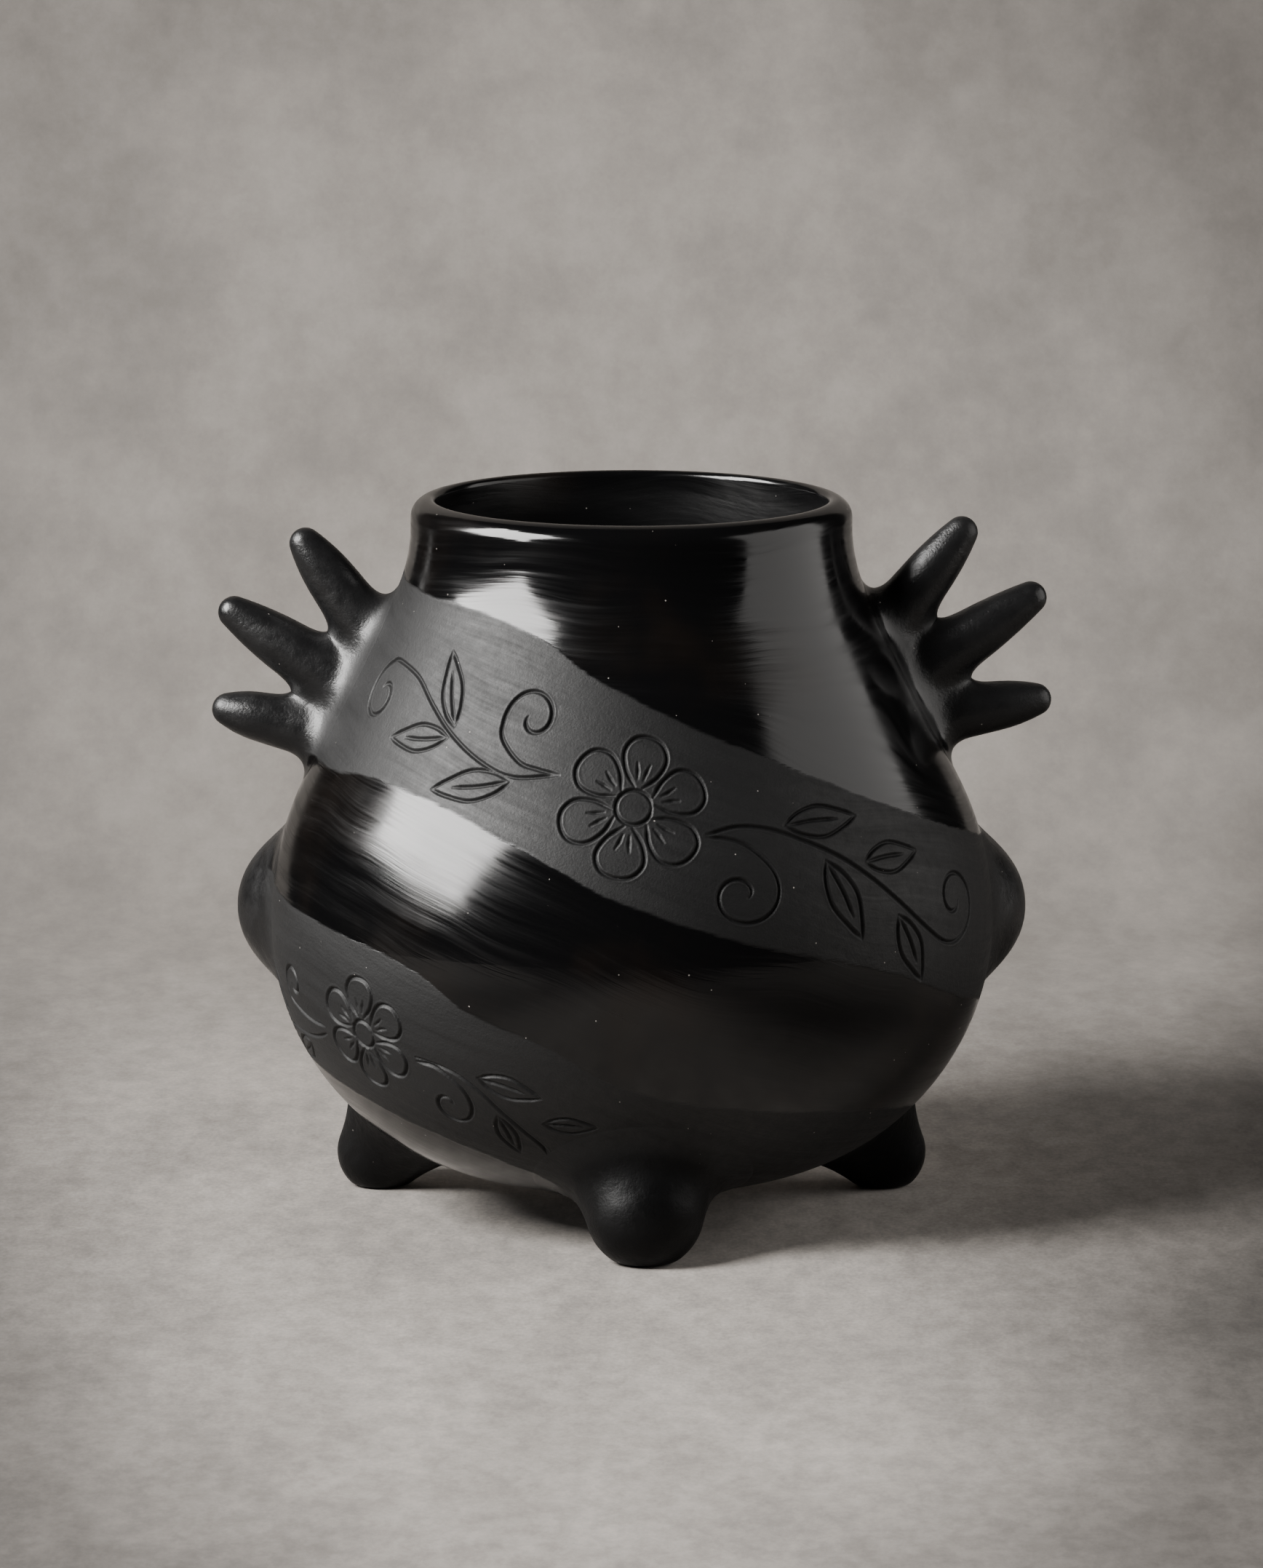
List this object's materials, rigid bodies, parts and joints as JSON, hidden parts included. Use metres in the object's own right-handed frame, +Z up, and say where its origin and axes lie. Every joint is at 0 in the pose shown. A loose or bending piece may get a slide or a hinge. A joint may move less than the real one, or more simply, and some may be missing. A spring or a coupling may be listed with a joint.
{
  "type": "effigy jar",
  "caption": "Wide-mouthed pear-shaped jar of burnished black clay on short teat feet, with gill-like fans on its shoulders, bosses on its flanks and an incised spiral band.",
  "frame": {"origin": "on the table under the axis of the pot, in the middle of its box", "axes": "+Z up out of the mouth, -Y towards the front foot, +X towards the gill fan on the viewer's right"},
  "size_m": [0.186, 0.16, 0.1606],
  "materials": {
    "carved_clay": "burnished black with matte incised bands",
    "burnished_clay": "burnished to a gloss",
    "satin_clay": "lightly burnished, satin",
    "matte_clay": "smoked, unburnished, matte"
  },
  "bodies": {
    "root": {"bowl": "carved_clay", "shoulder": "carved_clay", "rim_coil": "burnished_clay", "front_foot": "matte_clay", "left_foot": "matte_clay", "right_foot": "matte_clay", "left_boss": "satin_clay", "right_boss": "satin_clay", "left_gill_root": "satin_clay", "left_gill_upper": "satin_clay", "left_gill_middle": "satin_clay", "left_gill_lower": "satin_clay", "right_gill_root": "satin_clay", "right_gill_upper": "satin_clay", "right_gill_middle": "satin_clay", "right_gill_lower": "satin_clay"}
  },
  "joints": []
}
